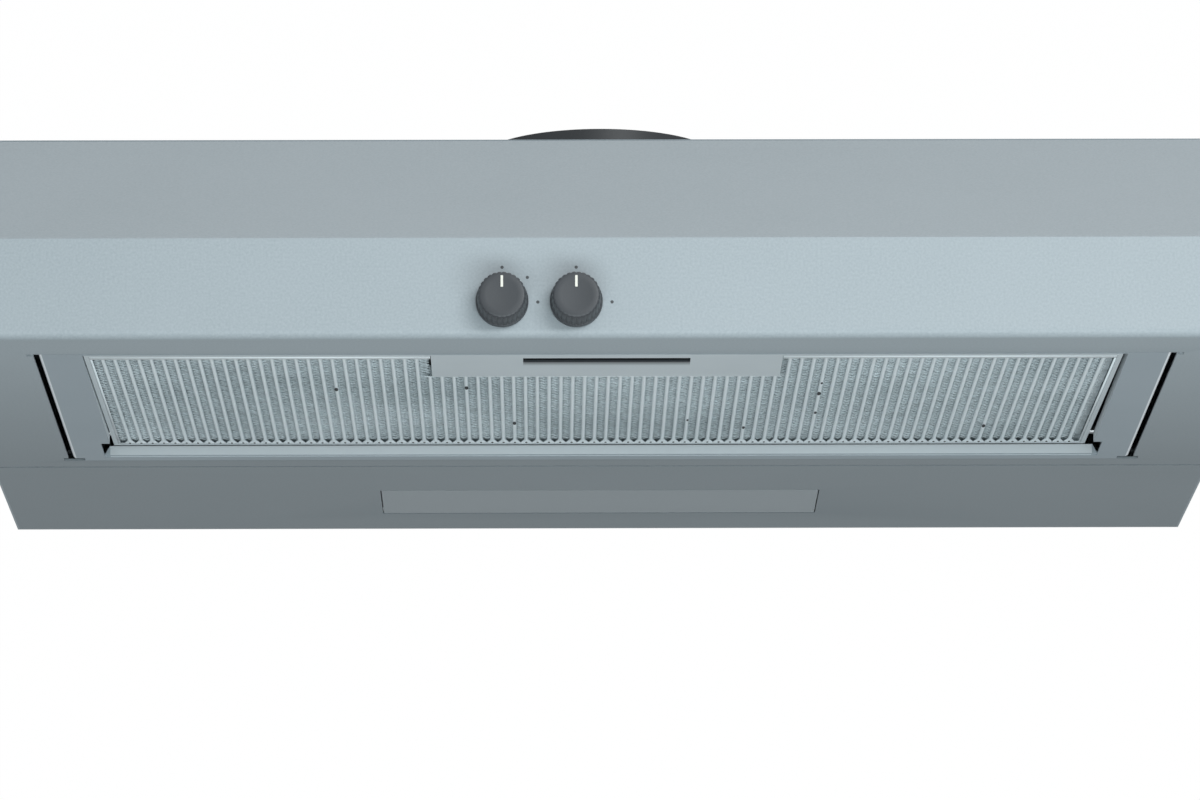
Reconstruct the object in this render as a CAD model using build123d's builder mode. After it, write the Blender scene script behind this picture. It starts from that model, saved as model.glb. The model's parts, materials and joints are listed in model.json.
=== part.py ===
from build123d import *
import math
import os

# Under cabinet range hood. The origin is on the top face, in the middle of the four cabinet screws.
# X runs along the width, -Y is the front and +Y the wall, and +Z is up. All sizes are in millimetres.

# Casing
hood_width = 598.0
front_y = -300.0
back_y = 150.0
underside = -130.0
flat_top_front_y = -150.0
fascia_height = 46.0
sheet = 1.0
edge_radius = 4.0
cabinet_screw_x = 260.0
cabinet_screw_y = 110.0
cabinet_screw_hole = 2.75

# Filter surround: the panel between the two dark slots
surround_half = 258.0
surround_front_y = -265.6
surround_back_y = -26.7
slot_gap = 2.3
opening_half = 238.0
opening_front_y = -263.7
opening_back_y = -38.2
flange_height = 4.8
corner_relief = 4.3
corner_relief_length = 28.6
pan_back_y = -10.4

# Filter cassette, which stands level with the underside in front and a little higher at the rear
filter_x = -0.8
filter_half = 236.6
filter_depth = 223.0
filter_height = 9.0
filter_front_y = -263.1
filter_rise = 4.8
filter_wall = 1.0
rib_pitch = 5.51
rib_count = 86
rib_width = 1.9
grille_front = 3.6
grille_back = filter_depth - 2.4
slot_front = 9.1
slot_back = 218.0
tab_x = 1.5
tab_half = 80.3
tab_depth = 50.6
finger_half = 38.2
finger_front = 7.6
finger_back = 16.2
filter_pin_depth = 217.0
filter_pin_height = 5.2
filter_pin_radius = 1.5

# Controls
fan_knob_x = -46.8
light_knob_x = -13.4
knob_z = underside + 16.25
knob_radius = 11.9
knob_taper = 1.0
knob_length = 15.3
shaft_radius = 3.0

# Blower, with the impeller on an upright axis
blower_x = -170.0
blower_top = -4.0
blower_bottom = -62.0
scroll_radius = 84.0
scroll_growth = 9.0
scroll_wall = 1.5
tongue_y = 25.0
outlet_x = -68.0
impeller_radius = 75.0
impeller_eye = 58.0
dish_radius = 50.0
blade_count = 36
motor_radius = 44.0
motor_top = -8.5
motor_middle = -23.5
motor_bottom = -38.5
motor_shaft_radius = 4.0
inlet_radius = 60.0
bolt_radius = 2.0

# Duct collar and its two damper flaps
collar_y = 45.0
collar_radius = 60.0
collar_wall = 1.5
collar_top = 40.0
collar_flange_radius = 71.0
collar_hole_radius = 62.0
box_half = 68.0
flap_radius = 57.5
flap_axis_x = 4.0
flap_axis_z = 8.0
flap_pin_radius = 1.5

# Lamp
lamp_half = 112.0
lamp_front_y = 48.0
lamp_back_y = 112.0
lamp_top = -94.0
lamp_pin_radius = 0.9
bulb_radius = 12.5
bulb_z = -110.0

# Electrical parts
box_x = (170.0, 250.0)
box_y = (104.0, 148.0)
box_z = (-92.0, -50.0)
cable_x = 210.0
cable_y = 121.0
cable_hole = 5.0
capacitor_radius = 17.5

panel_half = hood_width / 2 - sheet
tilt = math.atan(filter_rise / filter_depth)
filter_plane = Plane(
    origin=(filter_x, filter_front_y, underside), x_dir=(1, 0, 0), z_dir=(0, -math.sin(tilt), math.cos(tilt))
)
tab_plane = Plane(
    origin=(filter_x + tab_x, filter_front_y, underside), x_dir=filter_plane.x_dir, z_dir=filter_plane.z_dir
)
run_gap = 0.05
blower_centre = (blower_x, 0)

os.makedirs("parts", exist_ok=True)


def save(builder, name):
    """Label a finished piece and write it under its own name."""
    builder.part.label = name
    export_step(builder.part, f"parts/{name}.step")


def block(x, y, z, mode=Mode.ADD):
    """A box between two values on each axis."""
    middle = [sum(pair) / 2 for pair in (x, y, z)]
    size = [abs(pair[1] - pair[0]) for pair in (x, y, z)]
    with Locations(tuple(middle)):
        Box(*size, mode=mode)


def disc(centre, bottom, top, radius, mode=Mode.ADD):
    """An upright round disc or shaft."""
    with Locations((centre[0], centre[1], bottom)):
        Cylinder(radius, top - bottom, align=(Align.CENTER, Align.CENTER, Align.MIN), mode=mode)


def bar(start, length, radius, direction, mode=Mode.ADD):
    """A round bar from a point along a direction."""
    with Locations(Plane(origin=start, z_dir=direction)):
        Cylinder(radius, length, align=(Align.CENTER, Align.CENTER, Align.MIN), mode=mode)


def folded_sheet(points, bend_radius, side):
    """Cross-section, in the YZ plane, of a sheet folded along the given outer points."""
    with BuildSketch(Plane.YZ) as section:
        with BuildLine():
            FilletPolyline(*points, radius=bend_radius)
            offset(amount=sheet, side=side)
        make_face()
    return section.sketch


def scroll_outline(inset):
    """Outline of the blower scroll: three quarter arcs that grow towards the outlet."""
    east = blower_x + scroll_radius - inset
    lower = tongue_y + inset
    radii = [scroll_radius + step * scroll_growth - inset for step in range(3)]
    with BuildSketch(Plane.XY) as outline:
        with BuildLine():
            sill = Line((outlet_x, lower), (east, lower))
            Line(sill @ 1, (east, 0))
            CenterArc((blower_x, 0), radii[0], 0, -90)
            CenterArc((blower_x, scroll_growth), radii[1], -90, -90)
            last = CenterArc((blower_x + scroll_growth, scroll_growth), radii[2], 180, -90)
            head = Line(last @ 1, (outlet_x, (last @ 1).Y))
            Line(head @ 1, sill @ 0)
        make_face()
    return outline.sketch


# ---------------------------------------------------------------- casing

fascia_top = underside + fascia_height
slope = -fascia_top / (flat_top_front_y - front_y)
lip_y = front_y + sheet
lip_z = -(flat_top_front_y - lip_y) * slope
lip_length = 10.0
top_lap = 12.0
blower_bolt_points = [(blower_x + dx, dy) for dx in (-50, 50) for dy in (-50, 50)]
cabinet_screw_points = [
    (x, y) for x in (-cabinet_screw_x, cabinet_screw_x) for y in (-cabinet_screw_y, cabinet_screw_y)
]
collar_screw_radius = 66.5
collar_screw_points = [
    (collar_screw_radius * math.cos(angle), collar_y + collar_screw_radius * math.sin(angle))
    for angle in (math.radians(45 + 90 * turn) for turn in range(4))
]

# The cable hole is in a round recess, so that its grommet stays level with the top.
recess_radius = 14.0
recess_depth = 2.0
grommet_neck = 8.0
with BuildPart() as top_panel:
    block((-panel_half, panel_half), (flat_top_front_y, back_y - sheet), (-sheet, 0))
    disc((cable_x, cable_y), -recess_depth - sheet, -sheet, recess_radius + sheet)
    disc((cable_x, cable_y), -recess_depth, 1, recess_radius, Mode.SUBTRACT)
    disc((cable_x, cable_y), -5, 5, grommet_neck, Mode.SUBTRACT)
    disc((0, collar_y), -5, 5, collar_hole_radius, Mode.SUBTRACT)
    for point in cabinet_screw_points:
        disc(point, -5, 5, cabinet_screw_hole, Mode.SUBTRACT)
    for point in blower_bolt_points + collar_screw_points:
        disc(point, -5, 5, bolt_radius, Mode.SUBTRACT)
save(top_panel, "top_panel")

# The sloping front laps under the top panel and ends in a short upright lip behind the bottom pan.
with BuildPart() as sloping_front:
    front_points = (
        (flat_top_front_y + top_lap, -sheet),
        (flat_top_front_y - sheet / slope, -sheet),
        (lip_y, lip_z),
        (lip_y, fascia_top - lip_length),
    )
    extrude(folded_sheet(front_points, 2.0, Side.LEFT), amount=panel_half, both=True)
save(sloping_front, "sloping_front")

# Each end panel has a flange that turns in over the bottom pan.
end_flange = 10.0


def end_panel(inner_x, outer_x, flange_x):
    """One side of the casing, from its inner face to its outer face."""
    with BuildSketch(Plane.YZ.offset(inner_x)) as side_shape:
        with BuildLine():
            Polyline(
                (back_y, underside),
                (back_y, 0),
                (flat_top_front_y, 0),
                (front_y, fascia_top),
                (front_y, underside),
                close=True,
            )
        make_face()
        front_corner = side_shape.vertices().filter_by(lambda v: v.Y < front_y + 1 and v.Z < underside + 1)
        fillet(front_corner, edge_radius)
    with BuildPart() as panel:
        extrude(side_shape.sketch, amount=outer_x - inner_x)
        flange_z = (underside + sheet, underside + 2 * sheet)
        block((inner_x, flange_x), (front_y + 8, pan_back_y - 3), flange_z)
        block((inner_x, flange_x), (pan_back_y + 2, back_y - sheet), flange_z)
    return panel


left_panel = end_panel(-panel_half, -panel_half - sheet, -panel_half + end_flange)
save(left_panel, "left_end_panel")
right_panel = end_panel(panel_half, panel_half + sheet, panel_half - end_flange)
save(right_panel, "right_end_panel")

back_holes_x = 200.0
back_holes_z = -30.0
with BuildPart() as back_panel:
    block((-panel_half, panel_half), (back_y - sheet, back_y), (underside, 0))
    block((-panel_half, panel_half), (back_y - 12, back_y - sheet), (-2 * sheet, -sheet))
    for x in (-back_holes_x, back_holes_x):
        bar((x, back_y - 5, back_holes_z), 10, 3.0, (0, 1, 0), Mode.SUBTRACT)
save(back_panel, "back_panel")

# The bottom pan is the front face, the rounded edge, the front rail, the wings and the rear rail in one.
pan_opening_half = surround_half + slot_gap
pan_front_y = surround_front_y - 0.5
pan_flange = 8.0
foot_depth = 5.3
foot_reach = 2.4
hook_depth = 4.3
hook_reach = 3.0
with BuildPart() as bottom_pan:
    pan_points = (
        (front_y, fascia_top),
        (front_y, underside),
        (pan_back_y, underside),
        (pan_back_y, underside + pan_flange),
    )
    with BuildSketch(Plane.YZ) as pan_section:
        with BuildLine():
            FilletPolyline(*pan_points, radius=[edge_radius, 1.5])
            offset(amount=sheet, side=Side.LEFT)
        make_face()
    extrude(pan_section.sketch, amount=panel_half, both=True)
    block(
        (-pan_opening_half, pan_opening_half),
        (pan_front_y, surround_back_y + 0.3),
        (underside - 1, underside + 2),
        Mode.SUBTRACT,
    )
    for side in (-1, 1):
        inner = side * pan_opening_half
        foot_y = (surround_back_y - foot_depth, surround_back_y + 0.3)
        block((inner, inner + side * foot_reach), foot_y, (underside - 1, underside + 2), Mode.SUBTRACT)
        hook_y = (pan_front_y, pan_front_y + hook_depth)
        block((inner, inner + side * hook_reach), hook_y, (underside - 1, underside + 2), Mode.SUBTRACT)
    for x in (fan_knob_x, light_knob_x):
        bar((x, front_y - 2, knob_z), 5, 5.0, (0, 1, 0), Mode.SUBTRACT)
save(bottom_pan, "bottom_pan")

# The surround lies level with the pan. Its joggled tabs rest on top of the pan's front and rear rails.
tab_lap = 6.0
lap_half = 246.0
foot_length = 5.7
mitre = 2.5
swage_y = (opening_back_y + 1.2, opening_back_y + 4.1)
swage_depth = 0.6
with BuildPart() as filter_surround:
    with BuildSketch(Plane.XZ.offset(-surround_front_y)):
        with BuildLine():
            FilletPolyline(
                (-surround_half, underside + pan_flange),
                (-surround_half, underside),
                (surround_half, underside),
                (surround_half, underside + pan_flange),
                radius=2.0,
            )
            offset(amount=sheet, side=Side.LEFT)
        make_face()
    extrude(amount=surround_front_y - surround_back_y)
    block(
        (-opening_half, opening_half),
        (opening_front_y, opening_back_y),
        (underside - 1, underside + 2),
        Mode.SUBTRACT,
    )
    relief_y = (opening_back_y - corner_relief_length, opening_back_y)
    for side in (-1, 1):
        inner = side * opening_half
        block(
            (inner, inner + side * sheet),
            (opening_front_y, relief_y[0]),
            (underside, underside + flange_height),
        )
        block((inner, inner + side * corner_relief), relief_y, (underside - 1, underside + 2), Mode.SUBTRACT)
        block(
            (side * (surround_half - foot_length), side * (surround_half + 1)),
            (surround_back_y - foot_depth, surround_back_y + 1),
            (underside - 1, underside + pan_flange + 1),
            Mode.SUBTRACT,
        )
    flange_half = opening_half + corner_relief
    with BuildSketch(Plane.XZ.offset(-opening_back_y)) as rear_flange:
        with BuildLine():
            Polyline(
                (-flange_half, underside),
                (flange_half, underside),
                (flange_half - mitre, underside + flange_height),
                (-flange_half + mitre, underside + flange_height),
                close=True,
            )
        make_face()
    extrude(rear_flange.sketch, amount=-sheet)
    block((-flange_half, flange_half), swage_y, (underside + sheet, underside + sheet + swage_depth))
    block((-flange_half, flange_half), swage_y, (underside - 1, underside + swage_depth), Mode.SUBTRACT)
    lap_z = (underside + sheet, underside + 2 * sheet)
    block((-lap_half, lap_half), (surround_back_y - 2.4, surround_back_y + tab_lap), lap_z)
    for side in (-1, 1):
        block((side * 70, side * 230), (surround_front_y - tab_lap, opening_front_y - 0.2), lap_z)
save(filter_surround, "filter_surround")

rear_panel_front_y = pan_back_y + 1.2
lamp_opening_half = lamp_half - 2.0
lamp_opening_y = (lamp_front_y + 2.0, lamp_back_y - 2.0)
with BuildPart() as rear_underside_panel:
    block((-panel_half, panel_half), (rear_panel_front_y, back_y - sheet), (underside, underside + sheet))
    block(
        (-panel_half + 12, panel_half - 12),
        (rear_panel_front_y, rear_panel_front_y + sheet),
        (underside, underside + pan_flange),
    )
    block(
        (-panel_half + 12, panel_half - 12),
        (back_y - 2 * sheet, back_y - sheet),
        (underside, underside + pan_flange),
    )
    lamp_opening_x = (-lamp_opening_half, lamp_opening_half)
    block(lamp_opening_x, lamp_opening_y, (underside - 1, underside + 2), Mode.SUBTRACT)
save(rear_underside_panel, "rear_underside_panel")

# ---------------------------------------------------------------- filter cassette

pin_centre = filter_plane.from_local_coords((0, filter_pin_depth, filter_pin_height))
bracket_x = (243.4, 245.4)
bracket_half = 6.0
with BuildPart() as filter_hinge_brackets:
    for side in (-1, 1):
        x = sorted((side * bracket_x[0], side * bracket_x[1]))
        foot = sorted((side * bracket_x[0], side * (bracket_x[0] + 12)))
        y = (pin_centre.Y - bracket_half, pin_centre.Y + bracket_half)
        block(x, y, (underside + sheet, pin_centre.Z + bracket_half))
        block(foot, y, (underside + sheet, underside + 2.5 * sheet))
        bar((x[0] - 1, pin_centre.Y, pin_centre.Z), 5, filter_pin_radius + run_gap, (1, 0, 0), Mode.SUBTRACT)
save(filter_hinge_brackets, "filter_hinge_brackets")

arm_x = (finger_half + 1.2, finger_half + 7.0)
slide_low = 1.3
slide_high = 2.5
with BuildPart(filter_plane) as filter_frame:
    block((-filter_half, filter_half), (0, filter_depth), (0, filter_height))
    block(
        (-filter_half + filter_wall, filter_half - filter_wall),
        (filter_wall, filter_depth - filter_wall),
        (filter_wall, filter_height - filter_wall),
        Mode.SUBTRACT,
    )
    block((-filter_half + 2.2, filter_half - 2.2), (3.4, filter_depth - 2.2), (-1, 2), Mode.SUBTRACT)
    block((-filter_half + 8, filter_half - 8), (8, filter_depth - 8), (6, filter_height + 1), Mode.SUBTRACT)
    tab_gap = (tab_x - tab_half - 0.2, tab_x + tab_half + 0.2)
    block(tab_gap, (filter_wall, 4), (-1, filter_wall + 0.1), Mode.SUBTRACT)
    for side in (-1, 1):
        arm = (tab_x + side * (arm_x[0] - 0.4), tab_x + side * (arm_x[1] + 0.4))
        block(arm, (-1, filter_wall + 1), (slide_low - 0.25, slide_high + 0.4), Mode.SUBTRACT)
save(filter_frame, "filter_frame")

with BuildPart() as filter_grille:
    with BuildSketch(filter_plane) as ribbed_sheet:
        with Locations((0, (grille_front + grille_back) / 2)):
            Rectangle(2 * filter_half - 4.8, grille_back - grille_front)
        with Locations((0, (slot_front + slot_back) / 2)):
            with GridLocations(rib_pitch, 1, rib_count - 1, 1):
                SlotOverall(slot_back - slot_front, rib_pitch - rib_width, rotation=90, mode=Mode.SUBTRACT)
        with Locations((tab_x, tab_depth / 2)):
            Rectangle(2 * tab_half + 0.4, tab_depth + 0.4, mode=Mode.SUBTRACT)
    extrude(ribbed_sheet.sketch, amount=filter_wall)
save(filter_grille, "filter_grille")

mesh_low = filter_wall + 0.1
mesh_high = 6.8
with BuildPart(filter_plane) as filter_mesh:
    block(
        (-filter_half + filter_wall + 0.4, filter_half - filter_wall - 0.4),
        (filter_wall + 0.4, filter_depth - filter_wall - 0.4),
        (mesh_low, mesh_high),
    )
    tab_space = (tab_x - tab_half - 1.4, tab_x + tab_half + 1.4)
    block(tab_space, (-1, tab_depth + 1.4), (0, filter_height), Mode.SUBTRACT)
save(filter_mesh, "filter_mesh")

with BuildPart() as filter_back_screen:
    with BuildSketch(filter_plane.offset(mesh_high + 0.1)) as screen_sheet:
        with Locations((0, filter_depth / 2)):
            Rectangle(2 * filter_half - 3.2, filter_depth - 3.2)
            with GridLocations(24.4, 36.2, 19, 6):
                Rectangle(21.5, 33.2, mode=Mode.SUBTRACT)
        with Locations((tab_x, tab_depth / 2)):
            Rectangle(2 * tab_half + 3, tab_depth + 3, mode=Mode.SUBTRACT)
    extrude(screen_sheet.sketch, amount=0.8)
save(filter_back_screen, "filter_back_screen")

tab_wall_top = 6.5
with BuildPart(tab_plane) as handle_tab:
    block((-tab_half, tab_half), (filter_wall, tab_depth), (0, tab_wall_top))
    block((-tab_half + 1, tab_half - 1), (0, tab_depth - 1), (filter_wall, tab_wall_top + 1), Mode.SUBTRACT)
    block((-finger_half, finger_half), (finger_front, finger_back), (-1, 2), Mode.SUBTRACT)
save(handle_tab, "handle_tab")

slider_back = 41.0
slider_front = -0.1
pad_front = finger_back - 1.0
lip_height = 5.5
with BuildPart(tab_plane) as latch_slider:
    block((-arm_x[1], arm_x[1]), (finger_back + 0.5, slider_back), (slide_low, slide_high))
    block((-finger_half + 1, finger_half - 1), (pad_front, finger_back + 1), (slide_low, slide_high))
    block((-finger_half + 1, finger_half - 1), (pad_front, pad_front + 1.2), (slide_low, lip_height))
    for side in (-1, 1):
        arm = sorted((side * arm_x[0], side * arm_x[1]))
        block(arm, (slider_front, finger_back + 1), (slide_low, slide_high))
save(latch_slider, "latch_slider")

guide_inner = arm_x[1] + 0.3
with BuildPart(tab_plane) as latch_guides:
    for side in (-1, 1):
        foot = sorted((side * guide_inner, side * (guide_inner + 7)))
        roof = sorted((side * (guide_inner - 3.5), side * (guide_inner + 7)))
        block(foot, (pad_front + 1, slider_back - 2), (filter_wall, slide_high + 0.3))
        block(roof, (pad_front + 1, slider_back - 2), (slide_high + 0.3, slide_high + 1.5))
save(latch_guides, "latch_guides")

spring_radius = 1.1
spring_wire = 0.25
spring_turns = 6
spring_length = tab_depth - 1 - slider_back - 2 * spring_wire - 0.2
with BuildPart() as latch_springs:
    for side in (-1, 1):
        seat = tab_plane.from_local_coords((side * 28.0, slider_back + spring_wire + 0.1, slide_low + 1.6))
        coil_plane = Plane(origin=seat, x_dir=(1, 0, 0), z_dir=tab_plane.y_dir)
        with BuildLine(coil_plane) as coil:
            Helix(spring_length / spring_turns, spring_length, spring_radius)
        wire_start = Plane(origin=coil.line @ 0, x_dir=tab_plane.y_dir, z_dir=coil.line % 0)
        with BuildSketch(wire_start) as wire:
            Circle(spring_wire)
        sweep(wire.sketch, path=coil.line, is_frenet=True)
save(latch_springs, "latch_springs")

pin_length = 10.4
with BuildPart() as filter_hinge_pins:
    for side in (-1, 1):
        start = (filter_x + side * filter_half, pin_centre.Y, pin_centre.Z)
        bar(start, pin_length, filter_pin_radius, (side, 0, 0))
save(filter_hinge_pins, "filter_hinge_pins")

# ---------------------------------------------------------------- controls

nut_thickness = 2.4
bushing_radius = 4.8
for name, x in (("fan_speed", fan_knob_x), ("light", light_knob_x)):
    with BuildPart() as switch:
        block((x - 14, x + 14), (front_y + sheet, front_y + 22), (knob_z - 13, knob_z + 13))
        fillet(switch.edges().filter_by(Axis.Y), 2.0)
        bar((x, front_y + 2, knob_z), 5.5, bushing_radius, (0, -1, 0))
        bar((x, front_y + 19, knob_z), 40, shaft_radius + run_gap, (0, -1, 0), Mode.SUBTRACT)
        for step in (-1, 0, 1):
            block(
                (x + 8 * step - 1, x + 8 * step + 1),
                (front_y + 22, front_y + 30),
                (knob_z - 0.4, knob_z + 0.4),
            )
    save(switch, f"{name}_switch")

    with BuildPart() as shaft:
        bar((x, front_y + 18.5, knob_z), 30.5, shaft_radius, (0, -1, 0))
    save(shaft, f"{name}_knob_shaft")

    with BuildPart() as knob:
        with BuildSketch(Plane.YZ.offset(x)) as half_knob:
            with BuildLine():
                Polyline(
                    (front_y - 1.0, knob_z),
                    (front_y - 1.0, knob_z + knob_radius),
                    (front_y - 3.0, knob_z + knob_radius),
                    (front_y - knob_length, knob_z + knob_radius - knob_taper),
                    (front_y - knob_length, knob_z),
                    close=True,
                )
            make_face()
        revolve(half_knob.sketch, axis=Axis((x, 0, knob_z), (0, 1, 0)))
        front_edges = knob.edges().filter_by(GeomType.CIRCLE).sort_by(Axis.Y)
        fillet(front_edges[0], 1.2)
        bar((x, front_y, knob_z), 9, knob_radius - 2.2, (0, -1, 0), Mode.SUBTRACT)
        bar((x, front_y - 6, knob_z), 8, shaft_radius + 2.5, (0, -1, 0))
        bar((x, front_y, knob_z), 12.0, shaft_radius, (0, -1, 0), Mode.SUBTRACT)
        block((x - 0.8, x + 0.8), (front_y - knob_length - 0.6, front_y - 10), (knob_z + 3, knob_z + 10))
    save(knob, f"{name}_knob")

with BuildPart() as switch_nuts:
    for x in (fan_knob_x, light_knob_x):
        with BuildSketch(Plane.XZ.offset(-front_y)):
            with Locations((x, knob_z)):
                RegularPolygon(7.5, 6)
                Circle(bushing_radius, mode=Mode.SUBTRACT)
        extrude(amount=nut_thickness)
save(switch_nuts, "switch_nuts")

# ---------------------------------------------------------------- blower

with BuildPart() as blower_scroll:
    with BuildSketch(Plane.XY.offset(blower_bottom)):
        add(scroll_outline(0))
    extrude(amount=blower_top - blower_bottom)
    with BuildSketch(Plane.XY.offset(blower_bottom)):
        add(scroll_outline(scroll_wall))
    extrude(amount=blower_top - blower_bottom - scroll_wall, mode=Mode.SUBTRACT)
    for point in blower_bolt_points:
        disc(point, blower_top - 5, blower_top + 5, bolt_radius, Mode.SUBTRACT)
save(blower_scroll, "blower_scroll")

cover_screw_angles = (20, 100, 140, 180, 220, 260, 300, 340)
cover_screw_radius = scroll_radius - 7
with BuildPart() as inlet_cover:
    with BuildSketch(Plane.XY.offset(blower_bottom - scroll_wall)):
        add(scroll_outline(0))
    extrude(amount=scroll_wall)
    disc(blower_centre, blower_bottom - 6, blower_bottom, inlet_radius + 1.5)
    disc(blower_centre, blower_bottom - 7, blower_bottom + 1, inlet_radius, Mode.SUBTRACT)
save(inlet_cover, "inlet_cover")

with BuildPart() as discharge_box:
    box_y_span = (collar_y - box_half, collar_y + box_half)
    block((-box_half, box_half), box_y_span, (blower_bottom, blower_top))
    block(
        (-box_half + scroll_wall, box_half - scroll_wall),
        (box_y_span[0] + scroll_wall, box_y_span[1] - scroll_wall),
        (blower_bottom + scroll_wall, blower_top - scroll_wall),
        Mode.SUBTRACT,
    )
    outlet_top_y = scroll_radius + 3 * scroll_growth
    block(
        (-box_half - 1, -box_half + 2),
        (tongue_y + scroll_wall, outlet_top_y - scroll_wall),
        (blower_bottom + scroll_wall, blower_top - scroll_wall),
        Mode.SUBTRACT,
    )
    disc((0, collar_y), blower_top - 3, blower_top + 1, flap_radius, Mode.SUBTRACT)
save(discharge_box, "discharge_box")

with BuildPart() as blower_spacers:
    for point in blower_bolt_points:
        disc(point, blower_top, -sheet, 6.0)
        disc(point, blower_top, -sheet, bolt_radius, Mode.SUBTRACT)
save(blower_spacers, "blower_spacers")

# The bolt heads lie under the scroll's top and the shanks end level with the casing's top.
with BuildPart() as blower_bolts:
    for point in blower_bolt_points:
        disc(point, blower_top - scroll_wall, -0.2, bolt_radius)
        disc(point, blower_top - scroll_wall - 2.6, blower_top - scroll_wall, 3.8)
save(blower_bolts, "blower_bolts")

with BuildPart() as cover_screws:
    with BuildSketch(Plane.XY.offset(blower_bottom - scroll_wall)):
        with Locations(blower_centre):
            for angle in cover_screw_angles:
                with PolarLocations(cover_screw_radius, 1, start_angle=angle):
                    Circle(2.6)
    extrude(amount=-1.6)
save(cover_screws, "cover_screws")

mount_points = [
    (blower_x + 33 * math.cos(math.radians(a)), 33 * math.sin(math.radians(a))) for a in (90, 210, 330)
]
with BuildPart() as motor_mounts:
    for point in mount_points:
        disc(point, motor_top, blower_top - scroll_wall, 6.0)
save(motor_mounts, "motor_mounts")

can_wall = 1.5
with BuildPart() as motor_upper_cup:
    disc(blower_centre, motor_middle, motor_top, motor_radius)
    disc(blower_centre, motor_middle, motor_top - can_wall, motor_radius - can_wall, Mode.SUBTRACT)
save(motor_upper_cup, "motor_upper_cup")

with BuildPart() as motor_lower_cup:
    disc(blower_centre, motor_bottom, motor_middle, motor_radius)
    disc(blower_centre, motor_bottom + can_wall, motor_middle, motor_radius - can_wall, Mode.SUBTRACT)
    disc(blower_centre, motor_bottom - 1, motor_middle, motor_shaft_radius + 1.0, Mode.SUBTRACT)
save(motor_lower_cup, "motor_lower_cup")

bearing_radius = 9.0
bearing_height = 4.0
upper_bearing_top = motor_top - can_wall
lower_bearing_bottom = motor_bottom + can_wall
with BuildPart() as motor_bearings:
    for bottom in (upper_bearing_top - bearing_height, lower_bearing_bottom):
        disc(blower_centre, bottom, bottom + bearing_height, bearing_radius)
        disc(blower_centre, bottom, bottom + bearing_height, motor_shaft_radius + run_gap, Mode.SUBTRACT)
save(motor_bearings, "motor_bearings")

core_top = upper_bearing_top - bearing_height - 0.5
core_bottom = lower_bearing_bottom + bearing_height + 0.5
core_radius = 20.0
with BuildPart() as motor_stator:
    disc(blower_centre, core_bottom + 1, core_top - 1, motor_radius - can_wall)
    disc(blower_centre, core_bottom, core_top, core_radius + 0.8, Mode.SUBTRACT)
    with BuildSketch(Plane.XY.offset(core_bottom + 1)):
        with Locations(blower_centre):
            with PolarLocations(30.0, 6):
                SlotOverall(12, 8, rotation=90)
    extrude(amount=core_top - core_bottom - 2, mode=Mode.SUBTRACT)
save(motor_stator, "motor_stator")

with BuildPart() as motor_rotor:
    disc(blower_centre, core_bottom, core_top, core_radius)
    disc(blower_centre, core_bottom, core_top, motor_shaft_radius, Mode.SUBTRACT)
save(motor_rotor, "motor_rotor")

hub_top = -47.0
hub_thickness = 1.5
with BuildPart() as motor_shaft:
    disc(blower_centre, hub_top - 7, upper_bearing_top - 0.3, motor_shaft_radius)
save(motor_shaft, "motor_shaft")

blade_top = -12.0
blade_bottom = -58.0
blade_arc_radius = 10.5
blade_half_angle = 40.0
blade_circle = (impeller_radius + impeller_eye) / 2
ring_thickness = 1.5
with BuildPart() as impeller:
    disc(blower_centre, blade_top, blade_top + hub_thickness, impeller_radius)
    disc(blower_centre, hub_top - hub_thickness, blade_top + hub_thickness, dish_radius + hub_thickness)
    disc(blower_centre, hub_top, blade_top + hub_thickness + 1, dish_radius, Mode.SUBTRACT)
    disc(blower_centre, hub_top - 6, hub_top + 4, 8.0)
    disc(blower_centre, hub_top - 8, hub_top + 6, motor_shaft_radius, Mode.SUBTRACT)
save(impeller, "impeller")

with BuildPart() as impeller_blades:
    with BuildSketch(Plane.XY.offset(blade_bottom + ring_thickness)):
        with Locations(blower_centre):
            with PolarLocations(blade_circle, blade_count):
                arc_drop = blade_arc_radius * math.cos(math.radians(blade_half_angle))
                arc = CenterArc((0, -arc_drop), blade_arc_radius, 90 - blade_half_angle, 2 * blade_half_angle)
                SlotArc(arc, 1.0)
    extrude(amount=blade_top - blade_bottom - ring_thickness)
save(impeller_blades, "impeller_blades")

with BuildPart() as impeller_ring:
    disc(blower_centre, blade_bottom, blade_bottom + ring_thickness, impeller_radius)
    disc(blower_centre, blade_bottom - 1, blade_bottom + 3, impeller_radius - 4, Mode.SUBTRACT)
save(impeller_ring, "impeller_ring")

# ---------------------------------------------------------------- duct collar and damper

with BuildPart() as duct_collar:
    disc((0, collar_y), -sheet - collar_wall, -sheet, collar_flange_radius)
    disc((0, collar_y), -sheet - collar_wall, collar_top, collar_radius)
    disc((0, collar_y), -5, collar_top + 1, collar_radius - collar_wall, Mode.SUBTRACT)
    stop_top = flap_axis_z - 2.0
    disc((0, collar_y), stop_top - 1.5, stop_top, collar_radius - 1)
    disc((0, collar_y), stop_top - 2, stop_top + 1, collar_radius - collar_wall - 3, Mode.SUBTRACT)
    for point in collar_screw_points:
        disc(point, -5, 0, bolt_radius, Mode.SUBTRACT)
    for side in (-1, 1):
        start = (side * flap_axis_x, collar_y - collar_radius + 0.4, flap_axis_z)
        bar(start, 2 * collar_radius - 0.8, flap_pin_radius, (0, 1, 0), Mode.SUBTRACT)
save(duct_collar, "duct_collar")

with BuildPart() as collar_seal:
    disc((0, collar_y), blower_top, -sheet - collar_wall, 61.5)
    disc((0, collar_y), blower_top, -sheet - collar_wall, flap_radius, Mode.SUBTRACT)
save(collar_seal, "collar_seal")

with BuildPart() as collar_screws:
    for point in collar_screw_points:
        disc(point, -sheet - collar_wall, -0.1, bolt_radius)
        disc(point, -sheet - collar_wall - 1.2, -sheet - collar_wall, 2.8)
save(collar_screws, "collar_screws")

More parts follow.
